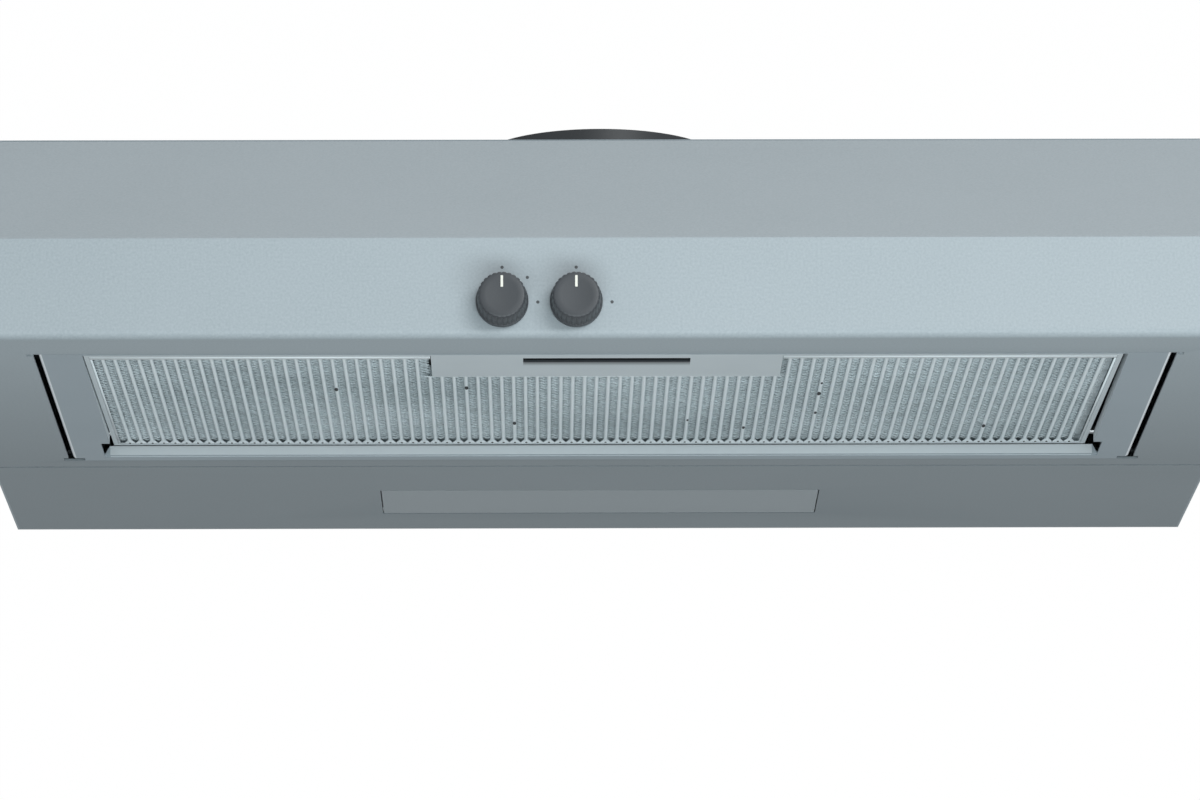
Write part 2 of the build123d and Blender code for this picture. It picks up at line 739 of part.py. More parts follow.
flap_thickness = 1.2
knuckle_radius = 2.8
for name, side in (("left", -1), ("right", 1)):
    with BuildPart() as damper_pin:
        reach = math.sqrt((collar_radius - collar_wall) ** 2 - flap_axis_x**2) + 0.6
        bar((side * flap_axis_x, collar_y - reach, flap_axis_z), 2 * reach, flap_pin_radius, (0, 1, 0))
    save(damper_pin, f"{name}_damper_pin")

    # Each flap is a half disc with two hinge knuckles that turn on its pin.
    with BuildPart() as flap:
        disc((0, collar_y), flap_axis_z - 1.6, flap_axis_z - 1.6 + flap_thickness, flap_radius - 0.6)
        keep = sorted((side * flap_axis_x, side * 80))
        block(keep, (collar_y - 80, collar_y + 80), (0, 20), Mode.INTERSECT)
        for centre_y in (collar_y - 36, collar_y + 36):
            bar((side * flap_axis_x, centre_y - 8, flap_axis_z), 16, knuckle_radius, (0, 1, 0))
        slot_x = sorted((side * (flap_axis_x - 4), side * (flap_axis_x + 3.2)))
        for y in ((-70, -44.4), (-27.6, 27.6), (44.4, 70)):
            block(slot_x, (collar_y + y[0], collar_y + y[1]), (0, 20), Mode.SUBTRACT)
        start = (side * flap_axis_x, collar_y - collar_radius, flap_axis_z)
        bar(start, 2 * collar_radius, flap_pin_radius + run_gap, (0, 1, 0), Mode.SUBTRACT)
    save(flap, f"{name}_damper_flap")

# ---------------------------------------------------------------- lamp

lamp_wall = 1.0
with BuildPart() as lamp_housing:
    block((-lamp_half, lamp_half), (lamp_front_y, lamp_back_y), (underside + sheet, lamp_top))
    block(
        (-lamp_half + lamp_wall, lamp_half - lamp_wall),
        (lamp_front_y + lamp_wall, lamp_back_y - lamp_wall),
        (underside, lamp_top - lamp_wall),
        Mode.SUBTRACT,
    )
save(lamp_housing, "lamp_housing")

lamp_middle_y = (lamp_front_y + lamp_back_y) / 2
holder_length = 20.0
cap_length = 12.0
bulb_reach = 80.0
with BuildPart() as lamp_holders:
    for side in (-1, 1):
        start = (side * (lamp_half - lamp_wall), lamp_middle_y, bulb_z)
        bar(start, holder_length, 11.0, (-side, 0, 0))
        cavity = (side * (lamp_half - lamp_wall - 4), lamp_middle_y, bulb_z)
        bar(cavity, holder_length, 7.2, (-side, 0, 0), Mode.SUBTRACT)
save(lamp_holders, "lamp_holders")

with BuildPart() as bulb_caps:
    for side in (-1, 1):
        start = (side * (lamp_half - lamp_wall - 6), lamp_middle_y, bulb_z)
        bar(start, cap_length + 4, 6.9, (-side, 0, 0))
save(bulb_caps, "bulb_caps")

with BuildPart() as light_bulbs:
    for side in (-1, 1):
        base = lamp_half - lamp_wall - 6 - cap_length - 4
        with BuildSketch(Plane.XY.offset(bulb_z)) as half_bulb:
            with BuildLine():
                neck = Line((side * base, lamp_middle_y), (side * base, lamp_middle_y + 6.5))
                shoulder = Line(neck @ 1, (side * (base - 10), lamp_middle_y + bulb_radius))
                dome = base - bulb_reach + bulb_radius
                body = Line(shoulder @ 1, (side * dome, lamp_middle_y + bulb_radius))
                tip = (side * (base - bulb_reach), lamp_middle_y)
                half_way = bulb_radius * math.sqrt(0.5)
                middle = (side * (dome - half_way), lamp_middle_y + half_way)
                ThreePointArc(body @ 1, middle, tip)
                Line(tip, neck @ 0)
            make_face()
        revolve(half_bulb.sketch, axis=Axis((0, lamp_middle_y, bulb_z), (1, 0, 0)))
save(light_bulbs, "light_bulbs")

# The diffuser turns on a pin at its rear, and the pin's ends sit in the lamp housing's end walls.
lens_half = lamp_opening_half - 0.6
lens_y = (lamp_opening_y[0] + 0.6, lamp_opening_y[1] - 1.8)
lens_thickness = 1.4
ear_radius = 2.3
lamp_pin_y = lens_y[1] - 1.2
lamp_pin_z = underside + 2.5
with BuildPart() as lamp_cover:
    block((-lens_half, lens_half), lens_y, (underside, underside + lens_thickness))
    block((-lens_half, lens_half), (lens_y[0], lens_y[0] + 1.6), (underside, underside + 7))
    for side in (-1, 1):
        ear = sorted((side * (lens_half - 6), side * (lens_half - 4)))
        bar((ear[0], lamp_pin_y, lamp_pin_z), 2, ear_radius, (1, 0, 0))
        block(ear, (lamp_pin_y - ear_radius, lens_y[1]), (underside, lamp_pin_z))
        bar((ear[0] - 1, lamp_pin_y, lamp_pin_z), 4, lamp_pin_radius + run_gap, (1, 0, 0), Mode.SUBTRACT)
save(lamp_cover, "lamp_cover")

with BuildPart() as lamp_cover_pin:
    pin_half = lamp_half - lamp_wall
    bar((-pin_half, lamp_pin_y, lamp_pin_z), 2 * pin_half, lamp_pin_radius, (1, 0, 0))
save(lamp_cover_pin, "lamp_cover_pin")

# ---------------------------------------------------------------- electrical parts

shell = 2.0
with BuildPart() as terminal_box:
    block(box_x, (box_y[0] + shell, back_y - sheet), box_z)
    block(
        (box_x[0] + shell, box_x[1] - shell),
        (box_y[0], back_y - sheet - shell),
        (box_z[0] + shell, box_z[1] - shell),
        Mode.SUBTRACT,
    )
    disc((cable_x, cable_y), box_z[1] - 3, box_z[1] + 1, 6.0, Mode.SUBTRACT)
save(terminal_box, "terminal_box")

with BuildPart() as terminal_box_lid:
    block(box_x, (box_y[0], box_y[0] + shell), box_z)
save(terminal_box_lid, "terminal_box_lid")

with BuildPart() as terminal_block:
    rail_y = back_y - sheet - shell
    block((cable_x - 20, cable_x + 20), (rail_y - 12, rail_y), (-82, -72))
    for step in (-1, 0, 1):
        bar((cable_x + 12 * step, rail_y - 16, -77), 8, 3.0, (0, 1, 0), Mode.SUBTRACT)
save(terminal_block, "terminal_block")

with BuildPart() as cable_grommet:
    disc((cable_x, cable_y), -recess_depth, 0, 11.0)
    disc((cable_x, cable_y), -recess_depth - sheet, -recess_depth, grommet_neck)
    disc((cable_x, cable_y), -recess_depth - sheet - 3, -recess_depth - sheet, 10.0)
    disc((cable_x, cable_y), -8, 1, cable_hole, Mode.SUBTRACT)
save(cable_grommet, "cable_grommet")

capacitor_start = (150, -60, -sheet - 2 - capacitor_radius)
with BuildPart() as run_capacitor:
    bar(capacitor_start, 60, capacitor_radius, (1, 0, 0))
    fillet(run_capacitor.edges().filter_by(GeomType.CIRCLE), 2.0)
    for dy in (-5, 5):
        blade_y = (capacitor_start[1] + dy - 2.4, capacitor_start[1] + dy + 2.4)
        block((145, 150), blade_y, (capacitor_start[2] - 0.4, capacitor_start[2] + 0.4))
save(run_capacitor, "run_capacitor")

with BuildPart() as capacitor_clip:
    bar((172, -60, capacitor_start[2]), 14, capacitor_radius + 1.2, (1, 0, 0))
    block((172, 186), (-60 - capacitor_radius - 10, -60 + capacitor_radius + 10), (-sheet - 1.5, -sheet))
    bar((170, -60, capacitor_start[2]), 20, capacitor_radius, (1, 0, 0), Mode.SUBTRACT)
    block((171, 187), (-100, -20), (-sheet, 5), Mode.SUBTRACT)
save(capacitor_clip, "capacitor_clip")
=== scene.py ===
import json
import math
import random

import bpy
from mathutils import Matrix, Vector


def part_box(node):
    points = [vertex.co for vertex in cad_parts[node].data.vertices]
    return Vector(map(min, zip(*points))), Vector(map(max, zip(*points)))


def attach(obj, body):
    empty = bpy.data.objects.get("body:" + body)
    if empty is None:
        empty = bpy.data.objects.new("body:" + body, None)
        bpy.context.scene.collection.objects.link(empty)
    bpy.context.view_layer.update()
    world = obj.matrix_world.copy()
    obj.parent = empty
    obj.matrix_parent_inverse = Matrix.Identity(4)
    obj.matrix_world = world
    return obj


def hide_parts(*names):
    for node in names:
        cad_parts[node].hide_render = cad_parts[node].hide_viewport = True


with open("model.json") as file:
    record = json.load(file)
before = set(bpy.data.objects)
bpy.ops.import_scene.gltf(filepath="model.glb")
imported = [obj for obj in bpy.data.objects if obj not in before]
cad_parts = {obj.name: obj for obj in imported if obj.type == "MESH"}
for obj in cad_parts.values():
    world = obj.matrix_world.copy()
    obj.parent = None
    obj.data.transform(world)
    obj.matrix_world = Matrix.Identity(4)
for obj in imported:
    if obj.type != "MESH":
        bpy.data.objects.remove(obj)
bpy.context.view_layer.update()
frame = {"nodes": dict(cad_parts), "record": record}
nodes = frame["nodes"]
scene = bpy.context.scene

MM = 0.001
SURROUND_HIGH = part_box("filter_surround")[1]
FILTER_LOW, FILTER_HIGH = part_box("filter_frame")
PAN_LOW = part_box("bottom_pan")[0]
UNDERSIDE = PAN_LOW.z
# Painted highlight along the surround's long folds: its width and its fade.
FOLD_HIGHLIGHT_WIDTH = 1.9 * MM
FOLD_HIGHLIGHT_FADE = 0.5 * MM
# Painted light on the surround's up-turned rim: its half width and its height above the underside.
RIM_LIGHT_HALF = 239.5 * MM
RIM_LIGHT_LIFT = 0.3 * MM
# Painted shade on the pan: where its darkening towards the rear starts, and how dark it gets.
REAR_SHADE_START = 30 * MM
REAR_SHADE_LEAST = 0.74
ZINC_CELLS = 110.0
MESH_CELLS = 420.0
NOISE_ROUGHNESS = 0.6


# ------------------------------------------------------------------ materials

def new_material(name):
    """An empty node material: returns it with its tree's nodes, its links and its Principled shader."""
    material = bpy.data.materials.new(name)
    material.use_nodes = True
    tree = material.node_tree
    return material, tree.nodes, tree.links, tree.nodes["Principled BSDF"]


def noise_node(tree_nodes, links, scale, detail, stretch=(1, 1, 1)):
    """Noise in the object's own coordinates, stretched along an axis where the surface is brushed."""
    coords = tree_nodes.new("ShaderNodeTexCoord")
    mapping = tree_nodes.new("ShaderNodeMapping")
    mapping.inputs["Scale"].default_value = stretch
    links.new(coords.outputs["Object"], mapping.inputs["Vector"])
    noise = tree_nodes.new("ShaderNodeTexNoise")
    noise.inputs["Scale"].default_value = scale
    noise.inputs["Detail"].default_value = detail
    noise.inputs["Roughness"].default_value = NOISE_ROUGHNESS
    links.new(mapping.outputs["Vector"], noise.inputs["Vector"])
    return noise


def ramp_node(tree_nodes, links, source, stops):
    """A colour ramp over a value output."""
    ramp = tree_nodes.new("ShaderNodeValToRGB")
    elements = ramp.color_ramp.elements
    while len(elements) < len(stops):
        elements.new(0.5)
    for element, (place, colour) in zip(elements, stops):
        element.position = place
        element.color = (*colour, 1.0)
    links.new(source, ramp.inputs["Fac"])
    return ramp


def range_node(tree_nodes, links, source, low, high, start=0.0, end=1.0):
    """Spreads a value that runs from start to end between low and high."""
    spread = tree_nodes.new("ShaderNodeMapRange")
    spread.inputs["From Min"].default_value = start
    spread.inputs["From Max"].default_value = end
    spread.inputs["To Min"].default_value = low
    spread.inputs["To Max"].default_value = high
    links.new(source, spread.inputs["Value"])
    return spread


def bump_node(tree_nodes, links, source, distance, strength):
    """A bump from a height output, its distance in metres."""
    bump = tree_nodes.new("ShaderNodeBump")
    bump.inputs["Distance"].default_value = distance
    bump.inputs["Strength"].default_value = strength
    links.new(source, bump.inputs["Height"])
    return bump


def math_node(tree_nodes, links, operation, source, *values):
    """A Math node: its first input is an output, and the others are numbers or outputs."""
    step = tree_nodes.new("ShaderNodeMath")
    step.operation = operation
    links.new(source, step.inputs[0])
    for socket, value in zip(step.inputs[1:], values):
        if isinstance(value, (int, float)):
            socket.default_value = value
        else:
            links.new(value, socket)
    return step.outputs["Value"]


def object_axes(tree_nodes, links):
    """The object's own coordinates, one output for each axis."""
    coords = tree_nodes.new("ShaderNodeTexCoord")
    split = tree_nodes.new("ShaderNodeSeparateXYZ")
    links.new(coords.outputs["Object"], split.inputs["Vector"])
    return split.outputs


def mix_colour(tree_nodes, links, mask, colour_below, colour_above):
    """Lays a colour over an output where a mask output is 1."""
    mix = tree_nodes.new("ShaderNodeMix")
    mix.data_type = "RGBA"
    mix.inputs["B"].default_value = (*colour_above, 1.0)
    links.new(mask, mix.inputs["Factor"])
    links.new(colour_below, mix.inputs["A"])
    return mix.outputs["Result"]


def multiply_colour(tree_nodes, links, colour, shade):
    """Multiplies a colour output by another output."""
    mix = tree_nodes.new("ShaderNodeMix")
    mix.data_type = "RGBA"
    mix.blend_type = "MULTIPLY"
    mix.inputs["Factor"].default_value = 1.0
    links.new(colour, mix.inputs["A"])
    links.new(shade, mix.inputs["B"])
    return mix.outputs["Result"]


def base_of(material):
    """A material's nodes and links, with its base colour's socket and what feeds it."""
    tree = material.node_tree
    socket = tree.nodes["Principled BSDF"].inputs["Base Color"]
    return tree.nodes, tree.links, socket, socket.links[0].from_socket


def surface(
    name, dark, light, metallic, roughness, grain,
    stretch=(1, 1, 1), bump=0.00002, wear=None, coat=0.0,
):
    """A moulded, painted or rolled surface: drifting colour, fine grain, uneven roughness, worn edges."""
    material, tree_nodes, links, shader = new_material(name)
    broad = noise_node(tree_nodes, links, 9.0, 3.0)
    fine = noise_node(tree_nodes, links, grain, 4.0, stretch)
    colour = ramp_node(tree_nodes, links, broad.outputs["Fac"], [(0.3, dark), (0.7, light)])
    speckle = range_node(tree_nodes, links, fine.outputs["Fac"], 0.93, 1.07)
    base = multiply_colour(tree_nodes, links, colour.outputs["Color"], speckle.outputs["Result"])
    if wear is not None:
        geometry = tree_nodes.new("ShaderNodeNewGeometry")
        edge = ramp_node(
            tree_nodes, links, geometry.outputs["Pointiness"], [(0.5, (0, 0, 0)), (0.56, (1, 1, 1))]
        )
        broken = math_node(tree_nodes, links, "MULTIPLY", edge.outputs["Color"], fine.outputs["Fac"])
        base = mix_colour(tree_nodes, links, broken, base, wear)
    links.new(base, shader.inputs["Base Color"])
    rough = range_node(tree_nodes, links, fine.outputs["Fac"], roughness - 0.06, roughness + 0.06)
    links.new(rough.outputs["Result"], shader.inputs["Roughness"])
    relief = bump_node(tree_nodes, links, fine.outputs["Fac"], bump, 0.6)
    links.new(relief.outputs["Normal"], shader.inputs["Normal"])
    shader.inputs["Metallic"].default_value = metallic
    shader.inputs["Coat Weight"].default_value = coat
    return material


def paint_fold_highlight(material, distance, fade, colour):
    """Paints a highlight on both long folds of a sheet, past a distance from its middle plane X = 0, where
    their rounded edges catch the light.
    """
    tree_nodes, links, socket, base = base_of(material)
    away = math_node(tree_nodes, links, "ABSOLUTE", object_axes(tree_nodes, links)["X"])
    highlight_band = range_node(tree_nodes, links, away, 0.0, 1.0, start=distance, end=distance + fade)
    links.new(mix_colour(tree_nodes, links, highlight_band.outputs["Result"], base, colour), socket)


def add_spangle(material, scale):
    """A mottle of flat cells, as on hot-dip zinc: each is a little lighter or darker than the next."""
    tree_nodes, links, socket, base = base_of(material)
    coords = tree_nodes.new("ShaderNodeTexCoord")
    cells = tree_nodes.new("ShaderNodeTexVoronoi")
    cells.inputs["Scale"].default_value = scale
    links.new(coords.outputs["Object"], cells.inputs["Vector"])
    shade = range_node(tree_nodes, links, cells.outputs["Color"], 0.82, 1.15)
    links.new(multiply_colour(tree_nodes, links, base, shade.outputs["Result"]), socket)


def shade_towards_rear(material, front, back, least):
    """Painted shade: darkens the paint more and more from Y = front to Y = back, where the light falls off
    towards the rear.
    """
    tree_nodes, links, socket, base = base_of(material)
    depth = object_axes(tree_nodes, links)["Y"]
    rear_shade = range_node(tree_nodes, links, depth, 1.0, least, start=front, end=back)
    links.new(multiply_colour(tree_nodes, links, base, rear_shade.outputs["Result"]), socket)


def paint_rim_light(material, x_half, above, colour):
    """Paints the up-turned rim round an opening lighter, as light falling on it from the front would: what
    lies above a height and within x_half of X = 0.
    """
    tree_nodes, links, socket, base = base_of(material)
    axes = object_axes(tree_nodes, links)
    within = math_node(tree_nodes, links, "COMPARE", axes["X"], 0.0, x_half)
    raised = math_node(tree_nodes, links, "GREATER_THAN", axes["Z"], above)
    both = math_node(tree_nodes, links, "MULTIPLY", within, raised)
    links.new(mix_colour(tree_nodes, links, both, base, colour), socket)


def paint_shade_behind(material, x_middle, x_half, front, back, colour):
    """Painted shade: darkens a band behind a finger slot, from its rear cut edge at Y = front, fading out at
    Y = back.
    """
    tree_nodes, links, socket, base = base_of(material)
    axes = object_axes(tree_nodes, links)
    aside = math_node(tree_nodes, links, "COMPARE", axes["X"], x_middle, x_half)
    started = math_node(tree_nodes, links, "GREATER_THAN", axes["Y"], front - 0.3 * MM)
    fading = range_node(tree_nodes, links, axes["Y"], 1.0, 0.0, start=front, end=back)
    product = math_node(tree_nodes, links, "MULTIPLY", fading.outputs["Result"], aside)
    product = math_node(tree_nodes, links, "MULTIPLY", product, started)
    links.new(mix_colour(tree_nodes, links, product, base, colour), socket)


def glassy(name, colour, roughness, transmission, subsurface=0.0):
    """Bulb glass or the frosted diffuser, with a faint ripple."""
    material, tree_nodes, links, shader = new_material(name)
    ripple = noise_node(tree_nodes, links, 160.0, 2.0)
    relief = bump_node(tree_nodes, links, ripple.outputs["Fac"], 0.0001, 0.3)
    links.new(relief.outputs["Normal"], shader.inputs["Normal"])
    shader.inputs["Base Color"].default_value = (*colour, 1.0)
    shader.inputs["Roughness"].default_value = roughness
    shader.inputs["Transmission Weight"].default_value = transmission
    shader.inputs["Subsurface Weight"].default_value = subsurface
    shader.inputs["Subsurface Radius"].default_value = (0.004, 0.004, 0.004)
    return material


SILVER = surface(
    "silver_paint", (0.262, 0.306, 0.330), (0.290, 0.334, 0.360), 0.0, 0.5, 900.0,
    bump=0.00003, wear=(0.42, 0.46, 0.48),
)
TOP = surface("top_paint", (0.268, 0.312, 0.336), (0.300, 0.344, 0.370), 0.0, 0.5, 900.0, bump=0.00003)
PAN = surface(
    "pan_paint", (0.262, 0.306, 0.330), (0.290, 0.334, 0.360), 0.0, 0.5, 900.0,
    bump=0.00003, wear=(0.42, 0.46, 0.48),
)
# Painted shade: the pan's paint darkens towards the rear, standing in for the light falling off there.
shade_towards_rear(PAN, PAN_LOW.y + REAR_SHADE_START, SURROUND_HIGH.y, REAR_SHADE_LEAST)
SURROUND = surface(
    "surround_paint", (0.318, 0.366, 0.396), (0.345, 0.392, 0.424), 0.0, 0.5, 900.0, bump=0.00003,
)
# Painted highlight: the surround's rounded long folds are painted near white, as if catching the light.
paint_fold_highlight(SURROUND, SURROUND_HIGH.x - FOLD_HIGHLIGHT_WIDTH, FOLD_HIGHLIGHT_FADE, (0.93, 0.95, 0.96))
# Painted light: the front-facing rim round the filter opening is painted lighter, as if lit from the front.
paint_rim_light(SURROUND, RIM_LIGHT_HALF, UNDERSIDE + RIM_LIGHT_LIFT, (0.60, 0.64, 0.66))
GALVANISED = surface("galvanised_steel", (0.50, 0.52, 0.54), (0.60, 0.62, 0.64), 0.9, 0.42, 160.0)
add_spangle(GALVANISED, ZINC_CELLS)
ALUMINIUM = surface(
    "satin_aluminium", (0.52, 0.57, 0.59), (0.60, 0.65, 0.67), 0.1, 0.42, 500.0, stretch=(0.4, 6, 1),
)
GRILLE = surface(
    "grille_aluminium", (0.78, 0.85, 0.87), (0.86, 0.92, 0.94), 0.1, 0.36, 420.0, stretch=(3, 0.5, 1),
)
MESH_METAL = surface("mesh_aluminium", (0.52, 0.58, 0.60), (0.72, 0.78, 0.80), 0.1, 0.45, 700.0, bump=0.0001)
add_spangle(MESH_METAL, MESH_CELLS)
BRIGHT = surface("bright_zinc", (0.55, 0.56, 0.57), (0.7, 0.71, 0.72), 1.0, 0.3, 600.0)
KNOB = surface(
    "knob_plastic", (0.035, 0.038, 0.042), (0.05, 0.054, 0.06), 0.0, 0.42, 1400.0, bump=0.00004,
    wear=(0.09, 0.095, 0.1),
)
NYLON = surface("natural_nylon", (0.6, 0.58, 0.52), (0.68, 0.66, 0.6), 0.0, 0.45, 600.0)
BLACK = surface("black_moulding", (0.010, 0.010, 0.011), (0.018, 0.018, 0.019), 0.0, 0.5, 900.0, bump=0.00004)
# Dark discs: painted shade for the small holes at the rib ends, and real dried grease specks.
DARK = surface("hole_shade_and_grease", (0.012, 0.014, 0.016), (0.02, 0.022, 0.025), 0.0, 0.7, 900.0)
COLLAR = surface("collar_plastic", (0.03, 0.032, 0.034), (0.05, 0.052, 0.055), 0.0, 0.48, 800.0, bump=0.00005)
MOTOR = surface("motor_paint", (0.07, 0.075, 0.08), (0.1, 0.105, 0.11), 0.1, 0.45, 400.0)
LAMINATION = surface(
    "laminations", (0.09, 0.085, 0.08), (0.16, 0.15, 0.14), 0.8, 0.55, 120.0,
    stretch=(0.2, 0.2, 14), bump=0.0002,
)
RUBBER = surface("rubber", (0.012, 0.012, 0.012), (0.025, 0.025, 0.025), 0.0, 0.75, 900.0, bump=0.00006)
FOAM = surface("foam", (0.03, 0.03, 0.03), (0.06, 0.06, 0.06), 0.0, 0.95, 1500.0, bump=0.0003)
ENAMEL = surface("white_enamel", (0.78, 0.78, 0.76), (0.86, 0.86, 0.84), 0.0, 0.3, 300.0, coat=0.3)
IVORY = surface("ivory_plastic", (0.72, 0.7, 0.62), (0.8, 0.78, 0.7), 0.0, 0.3, 500.0)
BRASS = surface("lamp_brass", (0.5, 0.38, 0.16), (0.66, 0.52, 0.24), 1.0, 0.35, 300.0)
WHITE = surface("white_can", (0.72, 0.72, 0.71), (0.8, 0.8, 0.79), 0.0, 0.3, 300.0)
BULB = glassy("bulb_glass", (0.96, 0.96, 0.94), 0.04, 0.9)
LENS = glassy("frosted_diffuser", (0.42, 0.46, 0.48), 0.45, 0.25, subsurface=0.2)

SLOT_MATERIALS = {
    "silver_paint": SILVER,
    "galvanised_steel": GALVANISED,
    "filter_aluminium": ALUMINIUM,
    "mesh_aluminium": MESH_METAL,
    "bright_steel": BRIGHT,
    "knob_plastic": KNOB,
    "shaft_plastic": NYLON,
    "switch_plastic": BLACK,
    "impeller_steel": GALVANISED,
    "collar_plastic": COLLAR,
    "motor_paint": MOTOR,
    "electrical_steel": LAMINATION,
    "rubber": RUBBER,
    "foam": FOAM,
    "lamp_white": ENAMEL,
    "holder_plastic": IVORY,
    "bulb_brass": BRASS,
    "bulb_glass": BULB,
    "lens_plastic": LENS,
    "capacitor_plastic": WHITE,
}


def dress_nodes():
    """Gives every CAD node the finish of its record slot."""
    slot_of = {part["node"]: part["material_slot"] for part in frame["record"]["subparts"]}
    for name, node in nodes.items():
        finish = SLOT_MATERIALS[slot_of[name]]
        if not node.data.materials:
            node.data.materials.append(finish)
        for index in range(len(node.data.materials)):
            node.data.materials[index] = finish


dress_nodes()
nodes["filter_surround"].data.materials[0] = SURROUND
nodes["top_panel"].data.materials[0] = TOP
for name in ("bottom_pan", "rear_underside_panel"):
    nodes[name].data.materials[0] = PAN


# ------------------------------------------------------------------ filter cassette

latch_joint = next(joint for joint in frame["record"]["behaviour"]["joints"] if joint["name"] == "latch_pull")
DEPTH_WAY = Vector(latch_joint["axis"]).normalized()
LIFT_WAY = Vector((1, 0, 0)).cross(DEPTH_WAY)
CASSETTE_HEIGHT = 9.0
CASSETTE_ORIGIN = Vector((
    (FILTER_LOW.x + FILTER_HIGH.x) / 2,
    FILTER_LOW.y + CASSETTE_HEIGHT * MM * DEPTH_WAY.z,
    FILTER_LOW.z,
))
TAB_LOW, TAB_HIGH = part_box("handle_tab")
TAB_LEFT = (TAB_LOW.x - CASSETTE_ORIGIN.x) / MM
TAB_RIGHT = (TAB_HIGH.x - CASSETTE_ORIGIN.x) / MM
TAB_DEPTH = 50.6

RIB_PITCH = 5.51
SLOT_COUNT = 85
RIB_WIDTH = 1.9
SHEET_HALF = 234.2
SHEET_FRONT = 3.6
SHEET_BACK = 220.6
SLOT_FRONT = 9.1
SLOT_BACK = 218.0
RIB_HEIGHT = 1.0
EDGE_GAP = 1.8
TAB_GAP = 0.3
TAB_STRIP = 0.9
SHEET_THICKNESS = 0.35
CELL_X, CELL_DEPTH = 5.6, 3.0
STRAND = 0.55
OVAL_POINTS = 14
BACK_LOW = 3.2
BACK_THICKNESS = 2.6


def cassette(x, depth, lift):
    """A point given in the cassette's own millimetres, on the tilted cassette."""
    return CASSETTE_ORIGIN + Vector((x, 0, 0)) * MM + DEPTH_WAY * depth * MM + LIFT_WAY * lift * MM


def piece(name, mesh_data, material, body, smooth=True):
    """A new visible piece from vertices and faces, riding on a body."""
    vertices, faces = mesh_data
    mesh = bpy.data.meshes.new(name)
    mesh.from_pydata([tuple(v) for v in vertices], [], faces)
    mesh.validate()
    if smooth:
        mesh.shade_smooth()
    mesh.materials.append(material)
    made = bpy.data.objects.new(name, mesh)
    scene.collection.objects.link(made)
    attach(made, body)
    return made


def grid_faces(start, rows, columns):
    """Quads over a grid of vertices that were added row by row from a start index."""
    return [
        (start + r * columns + c, start + r * columns + c + 1,
         start + (r + 1) * columns + c + 1, start + (r + 1) * columns + c)
        for r in range(rows - 1) for c in range(columns - 1)
    ]


def rib_stations(front, back):
    """Depths along a rib, each with its spread: 1 where the rib joins the border, and 0 along its middle."""
    front_ease = (0.0, 0.35, 0.9, 1.8)
    back_ease = (6.0, 4.2, 2.8, 1.7, 0.8, 0.0)
    stations = [(front + step, 1 - (step / front_ease[-1]) ** 0.5) for step in front_ease]
    stations += [(front + (back - front) * part, 0.0) for part in (0.1, 0.3, 0.5, 0.7, 0.9)]
    stations += [(back - step, (1 - step / back_ease[0]) ** 2.2) for step in back_ease]
    return stations


def ribbed_sheet():
    """The pressed grille: rounded ribs that flare into the border at the rear, with the border strips."""
    vertices, faces = [], []
    across = (-1.0, -0.8, -0.5, -0.2, 0.0, 0.2, 0.5, 0.8, 1.0)
    for index in range(SLOT_COUNT - 1):
        centre = rib_middle(index)
        behind_tab = TAB_LEFT - 1.2 < centre < TAB_RIGHT + 1.2
        front = TAB_DEPTH + TAB_STRIP if behind_tab else SLOT_FRONT
        stations = rib_stations(front, SLOT_BACK)
        start = len(vertices)
        for depth, spread in stations:
            width = RIB_WIDTH + (RIB_PITCH - RIB_WIDTH) * spread
            rise = RIB_HEIGHT * (1 - spread)
            for u in across:
                vertices.append(cassette(centre + u * width / 2, depth, rise * abs(u) ** 2.5))
        faces += grid_faces(start, len(stations), len(across))
    edge = (SLOT_COUNT - 1) / 2 * RIB_PITCH
    strips = [
        (-SHEET_HALF, TAB_LEFT - TAB_GAP, SHEET_FRONT, SLOT_FRONT),
        (TAB_RIGHT + TAB_GAP, SHEET_HALF, SHEET_FRONT, SLOT_FRONT),
        (-SHEET_HALF, SHEET_HALF, SLOT_BACK, SHEET_BACK),
        (-SHEET_HALF, -edge - EDGE_GAP, SLOT_FRONT, SLOT_BACK),
        (edge + EDGE_GAP, SHEET_HALF, SLOT_FRONT, SLOT_BACK),
        (TAB_LEFT - TAB_GAP, TAB_RIGHT + TAB_GAP, TAB_DEPTH + 0.1, TAB_DEPTH + TAB_STRIP),
    ]
    for left, right, front, back in strips:
        start = len(vertices)
        vertices += [cassette(x, depth, 0) for depth in (front, back) for x in (left, right)]
        faces += grid_faces(start, 2, 2)
    return vertices, faces


def disc_faces(start, points):
    """The faces of a thin closed disc: two rings of vertices, the near one first."""
    far = start + points
    faces = [tuple(far + i for i in range(points)), tuple(far - 1 - i for i in range(points))]
    faces += [(start + i, start + (i + 1) % points, far + (i + 1) % points, far + i) for i in range(points)]
    return faces


def add_oval(vertices, faces, middle, half_size, lifts):
    """Adds a thin closed oval disc that lies in the cassette, between two lifts."""
    start = len(vertices)
    for lift in lifts:
        for turn in (2 * math.pi * i / OVAL_POINTS for i in range(OVAL_POINTS)):
            x = middle[0] + half_size[0] * math.cos(turn)
            depth = middle[1] + half_size[1] * math.sin(turn)
            vertices.append(cassette(x, depth, lift))
    faces += disc_faces(start, OVAL_POINTS)


def rib_middle(index):
    """How far across the cassette a rib's axis lies, in millimetres."""
    return (index - (SLOT_COUNT - 2) / 2) * RIB_PITCH


def hole_shade_discs():
    """Painted shade: a small dark disc on each rib's axis at the rear, standing for the shade inside a small
    hole there.
    """
    vertices, faces = [], []
    for index in range(SLOT_COUNT - 1):
        add_oval(vertices, faces, (rib_middle(index), SLOT_BACK - 0.2), (0.55, 1.5), (-0.02, 0.1))
    return vertices, faces


